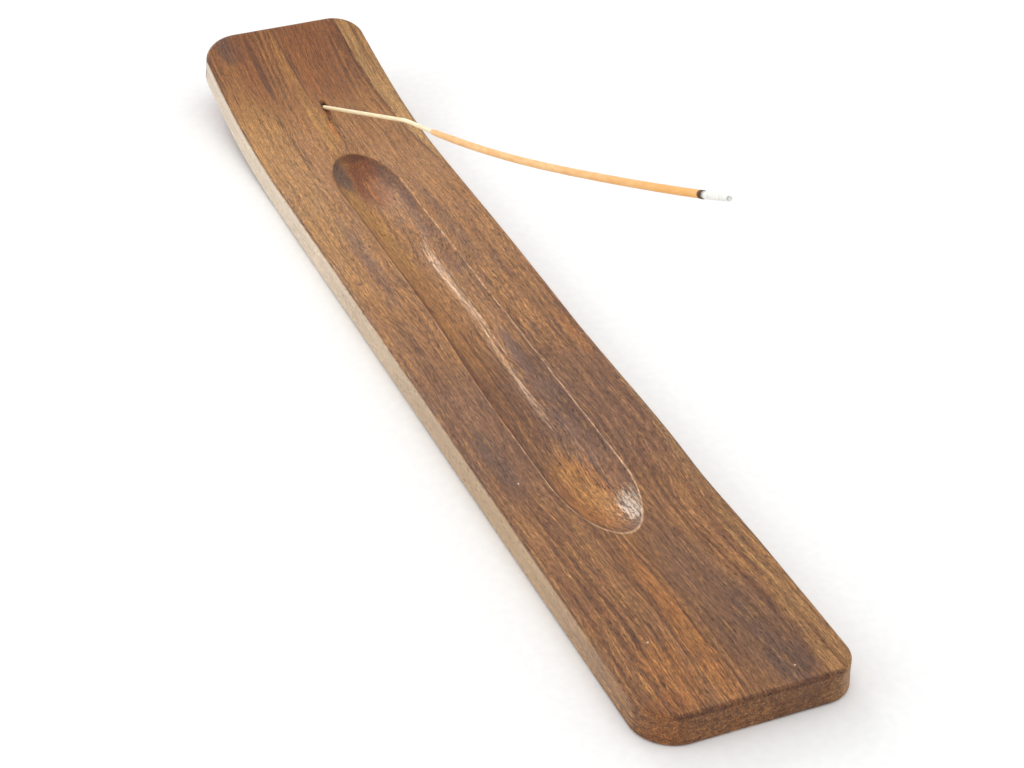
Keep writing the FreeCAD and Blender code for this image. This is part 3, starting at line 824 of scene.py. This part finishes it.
def paste_radius(distance, angle):
    """The paste starts in a thin drawn-out lip, then keeps its width but for lumps and finger marks."""
    start = min(1, (distance - bare_end) / PASTE_SWELL)
    width = PASTE_START_WIDTH + (PASTE_WIDTH - PASTE_START_WIDTH) * start ** 0.5
    finger_marks = 0.045 * abs(ridges(distance, angle, 5 * MM, 0.8, 5))
    lumps = 0.03 * abs(ridges(distance, angle, 1.2 * MM, 1.6, 8))
    lip = 1 - 0.12 * max(0, 1 - (distance - bare_end) / PASTE_LIP) ** 2
    return width / 2 * lip * (1 - (finger_marks + lumps))


paste = rod("incense_paste", spread(bare_end, paste_end, 420) + [paste_end], paste_radius)
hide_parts("incense_coating")


PASTE_TAN = (238, 181, 120)
PASTE_PALE = (247, 202, 144)
PASTE_WARM = (240, 172, 88)
PASTE_PINK = (240, 196, 172)
SCORCHED = (112, 62, 38)
GRIT = (176, 118, 70)


def incense():
    """Pinkish at its lip, warmer towards the fire and scorched beside the char."""
    made, nodes, finish, place = material("incense_paste")
    apart = nodes.node("SeparateXYZ", {0: place}).outputs
    wear_and_glint = nodes.noise(place, (3.5, 0.9, 0.9), detail=3, roughness=0.6)
    grit = nodes.noise(place, (0.16, 0.13, 0.13), detail=2, roughness=0.7)
    tone = nodes.mix(nodes.ramp(wear_and_glint, 0.3, 0.7), colour(*PASTE_TAN), colour(*PASTE_PALE))
    heat = nodes.ramp(apart["X"], bare_end / MM + 60, paste_end / MM, 0.0, 0.6)
    tone = nodes.mix(heat, tone, colour(*PASTE_WARM))
    lip = nodes.ramp(apart["X"], bare_end / MM + 2.5, bare_end / MM, 0.0, 0.5)
    tone = nodes.mix(lip, tone, colour(*PASTE_PINK))
    scorch = nodes.ramp(apart["X"], paste_end / MM - 0.5, paste_end / MM, 0.0, 0.85)
    tone = nodes.mix(scorch, tone, colour(*SCORCHED))
    tone = nodes.mix(nodes.ramp(grit, 0.42, 0.25, 0.0, 0.45), tone, colour(*GRIT))
    nodes.tree.links.new(tone, finish["Base Color"])
    nodes.tree.links.new(nodes.ramp(grit, 0.3, 0.7, 0.92, 0.78), finish["Roughness"])
    rough = nodes.bump(grit, 0.00008, 0.6, nodes.bump(wear_and_glint, 0.0002, 0.4))
    nodes.tree.links.new(rough, finish["Normal"])
    return made


paste.data.materials.append(incense())


def char_radius(distance, angle):
    """Char swells a little and cracks in rings."""
    share = (distance - paste_end) / CHAR_LENGTH
    cracks = 0.09 * abs(ridges(distance, angle, 0.35 * MM, 1.5, 11))
    return CHAR_WIDTH / 2 * (1 - 0.1 * abs(2 * share - 1) ** 3 - cracks)


char = rod("charred_ring", [paste_end + CHAR_LENGTH * step / 16 for step in range(17)], char_radius)
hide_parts("char_ring")


CHAR_BLACK = (34, 24, 16)
CHAR_BROWN = (104, 76, 48)


def charred():
    made, nodes, finish, place = material("char")
    crackle = nodes.noise(place, (0.3, 0.3, 0.3), detail=3, roughness=0.65)
    tone = nodes.mix(nodes.ramp(crackle, 0.35, 0.65), colour(*CHAR_BLACK), colour(*CHAR_BROWN))
    nodes.tree.links.new(tone, finish["Base Color"])
    nodes.tree.links.new(nodes.ramp(crackle, 0.3, 0.7, 0.95, 0.75), finish["Roughness"])
    nodes.tree.links.new(nodes.bump(crackle, 0.00015, 0.8), finish["Normal"])
    return made


char.data.materials.append(charred())


ash_start = paste_end + CHAR_LENGTH * CHAR_SHOWN


def ash_radius(distance, angle):
    """Ash shrinks away from the fire, keeps the layers it burned in and flakes at its end."""
    share = (distance - ash_start) / ASH_LENGTH
    width = ASH_WIDTH + (ASH_END_WIDTH - ASH_WIDTH) * max(share, 0) ** 1.6
    layers = 0.14 * abs(ridges(distance, angle, 0.7 * MM, 1.4, 15))
    flakes = 0.05 * abs(ridges(distance, angle, 0.25 * MM, 2.5, 19))
    return width / 2 * (1 - (layers + flakes))


ash = rod("ash_stem", [ash_start + (ASH_LENGTH - 0.1 * MM) * step / 90 for step in range(91)], ash_radius)
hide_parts("ash_tip")


ASH_PALE = (230, 230, 222)
ASH_WHITE = (250, 249, 246)
ASH_GREY = (160, 156, 144)
ASH_SOOT = (92, 78, 68)
ASH_BROKEN = (90, 86, 80)


def ashen():
    made, nodes, finish, place = material("ash")
    apart = nodes.node("SeparateXYZ", {0: place}).outputs
    layers = nodes.noise(place, (0.35, 0.9, 0.9), detail=3, roughness=0.6)
    flakes = nodes.noise(place, (0.5, 0.3, 0.3), detail=3, roughness=0.7)
    tone = nodes.mix(nodes.ramp(layers, 0.35, 0.65), colour(*ASH_PALE), colour(*ASH_WHITE))
    tone = nodes.mix(nodes.ramp(flakes, 0.4, 0.28, 0.0, 0.45), tone, colour(*ASH_GREY))
    soot = nodes.ramp(apart["X"], ash_start / MM + 1.2, ash_start / MM, 0.0, 0.8)
    tone = nodes.mix(soot, tone, colour(*ASH_SOOT))
    end = (ash_start + ASH_LENGTH) / MM
    ragged = nodes.maths("ADD", apart["X"], nodes.times(flakes, 1.2))
    tip = nodes.ramp(ragged, end + 0.35, end + 0.75, 0.0, 0.5)
    tone = nodes.mix(tip, tone, colour(*ASH_BROKEN))
    nodes.tree.links.new(tone, finish["Base Color"])
    nodes.tree.links.new(nodes.ramp(flakes, 0.3, 0.7, 1.0, 0.85), finish["Roughness"])
    nodes.tree.links.new(nodes.bump(flakes, 0.0002, 0.7), finish["Normal"])
    return made


ash.data.materials.append(ashen())

# ---------------------------------------------------------------------------------------------
# The floor: a seamless pale sheet, matt, much wider than the view.
# ---------------------------------------------------------------------------------------------


FLOOR_HALF_WIDTH = 6
PAPER_TOOTH = (0.002, 0.002, 0.002)
PAPER_DULL = (246, 246, 246)
PAPER_WHITE = (249, 249, 248)


def floor_sheet():
    sheet = bmesh.new()
    bmesh.ops.create_grid(sheet, x_segments=1, y_segments=1, size=FLOOR_HALF_WIDTH)
    laid = finished(sheet, "floor")
    bpy.context.view_layer.update()
    made, nodes, finish, _ = material("floor_paper")
    spot = nodes.node("TexCoord").outputs["Object"]
    tooth = nodes.noise(spot, PAPER_TOOTH, detail=2)
    tone = nodes.mix(nodes.ramp(tooth, 0.3, 0.7), colour(*PAPER_DULL), colour(*PAPER_WHITE))
    nodes.tree.links.new(tone, finish["Base Color"])
    finish["Roughness"].default_value = 0.9
    finish["Specular IOR Level"].default_value = 0.2
    laid.data.materials.append(made)
    return laid


floor_sheet()

# ---------------------------------------------------------------------------------------------
# Studio light: a white room, a small bright box and a large soft one low behind the raised end, a
# broad weak box on the board's left and another overhead.
# ---------------------------------------------------------------------------------------------
ROOM_LIGHT = 0.79

room = bpy.data.worlds.new("white_room")
room.use_nodes = True
room.node_tree.nodes["Background"].inputs["Color"].default_value = (1, 1, 1, 1)
room.node_tree.nodes["Background"].inputs["Strength"].default_value = ROOM_LIGHT
bpy.context.scene.world = room


def way_to(azimuth, elevation):
    """The way from the board to a place round it, in degrees from +X towards +Y and above the level."""
    azimuth, elevation = math.radians(azimuth), math.radians(elevation)
    flat = math.cos(elevation)
    return Vector((flat * math.cos(azimuth), flat * math.sin(azimuth), math.sin(elevation)))


def soft_box(name, azimuth, elevation, distance, width, height, power):
    """A rectangular light that faces the board; sizes in metres, power in watts."""
    lamp = bpy.data.lights.new(name, "AREA")
    lamp.shape = "RECTANGLE"
    lamp.size = width
    lamp.size_y = height
    lamp.energy = power
    box = bpy.data.objects.new(name, lamp)
    bpy.context.scene.collection.objects.link(box)
    way = way_to(azimuth, elevation)
    box.location = way * distance
    box.rotation_euler = way.to_track_quat("Z", "Y").to_euler()


soft_box("glint_box", 181, 32, 1.6, 0.24, 0.36, 2.0)
soft_box("back_box", 186, 26, 1.6, 1.3, 0.6, 5)
soft_box("left_box", 255, 30, 1.6, 1.4, 0.5, 4)
soft_box("top_box", 20, 75, 1.8, 1.4, 1.4, 6)

# ---------------------------------------------------------------------------------------------
# Camera: a long lens, well above the board and round to the left of its flat end.
# ---------------------------------------------------------------------------------------------
CAMERA_TARGET = Vector((17.26, 2.14, 0)) * MM
CAMERA_AZIMUTH = -22.667
CAMERA_ELEVATION = 33.69
CAMERA_DISTANCE = 486.68 * MM
LENS_LENGTH = 86.04
FRAME_WIDTH = 36

lens = bpy.data.cameras.new("camera")
lens.lens = LENS_LENGTH
lens.sensor_width = FRAME_WIDTH
lens.clip_start = 0.01
camera = bpy.data.objects.new("camera", lens)
bpy.context.scene.collection.objects.link(camera)
camera_way = way_to(CAMERA_AZIMUTH, CAMERA_ELEVATION)
camera.location = CAMERA_TARGET + CAMERA_DISTANCE * camera_way
camera.rotation_euler = camera_way.to_track_quat("Z", "Y").to_euler()
bpy.context.scene.camera = camera
bpy.context.scene.view_settings.view_transform = "Standard"
